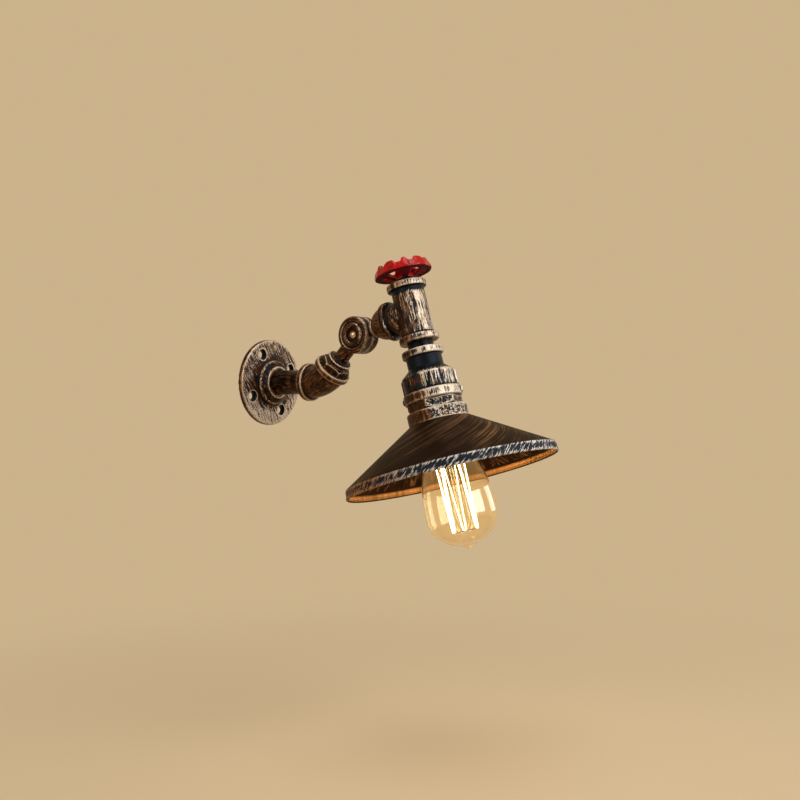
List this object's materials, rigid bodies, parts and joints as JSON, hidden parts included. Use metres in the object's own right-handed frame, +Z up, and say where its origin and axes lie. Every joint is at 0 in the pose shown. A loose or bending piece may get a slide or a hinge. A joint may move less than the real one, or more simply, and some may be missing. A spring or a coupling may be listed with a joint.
{
  "type": "swing arm wall lamp",
  "caption": "Wall lamp of aged pipe fittings: floor flange, nipple, elbow and friction knuckle carry a tee with a valve-wheel switch, a cone shade and a long-filament bulb.",
  "frame": {"origin": "centre of the wall flange's back face, in the middle of its circle of screw holes", "axes": "+X across the wall, +Z up, and the lamp stands out from the wall along -Y"},
  "size_m": [0.1742, 0.2825, 0.2351],
  "materials": {
    "pale_bronze": "antique, dry-brushed pale bronze over black",
    "aged_bronze": "antique, copper-brown patina with pale worn edges",
    "dark_bronze": "antique, blue-black with silver streaks",
    "shade_bronze": "brushed dark bronze lacquer",
    "red_enamel": "gloss enamel",
    "steel": "plain",
    "brass": "dull",
    "porcelain": "satin",
    "black_plastic": "matte",
    "fibre": "matte",
    "amber_glass": "clear, faintly amber",
    "clear_glass": "clear",
    "hot_filament": "glowing"
  },
  "bodies": {
    "wall_arm": {"wall_flange": "pale_bronze", "wall_nipple": "dark_bronze", "elbow": "aged_bronze", "elbow_bush": "aged_bronze", "knuckle_base": "aged_bronze", "pivot_screw": "pale_bronze", "friction_washer": "fibre", "spring_washer": "steel", "pivot_nut": "pale_bronze"},
    "lamp_head": {"knuckle_arm": "aged_bronze", "branch_bush": "aged_bronze", "tee": "aged_bronze", "tee_nipple": "dark_bronze", "reducer": "dark_bronze", "hex_plug": "pale_bronze", "lamp_rod": "steel", "rod_nut": "steel", "shade_collar": "pale_bronze", "shade": "shade_bronze", "shade_ring": "black_plastic", "lampholder": "porcelain", "screw_shell": "brass", "centre_contact": "brass", "bulb_cap": "brass", "cap_insulator": "black_plastic", "cap_contact": "steel", "bulb_glass": "amber_glass", "bulb_stem": "clear_glass", "filament_supports": "steel", "filament": "hot_filament", "valve_bonnet": "dark_bronze", "switch_body": "black_plastic"},
    "valve_wheel": {"valve_stem": "steel", "handwheel": "red_enamel", "wheel_nut": "red_enamel"}
  },
  "joints": [
    {"name": "head_tilt", "type": "hinge", "parent": "wall_arm", "child": "lamp_head", "pos_m": [0, -0.10369, 0.03939], "axis": [-1, 0, 0], "range_deg": [-45, 105]},
    {"name": "wheel_turn", "type": "hinge", "parent": "lamp_head", "child": "valve_wheel", "pos_m": [0, -0.16002, 0.05607], "axis": [0, 0.284, 0.9588], "continuous": true}
  ]
}
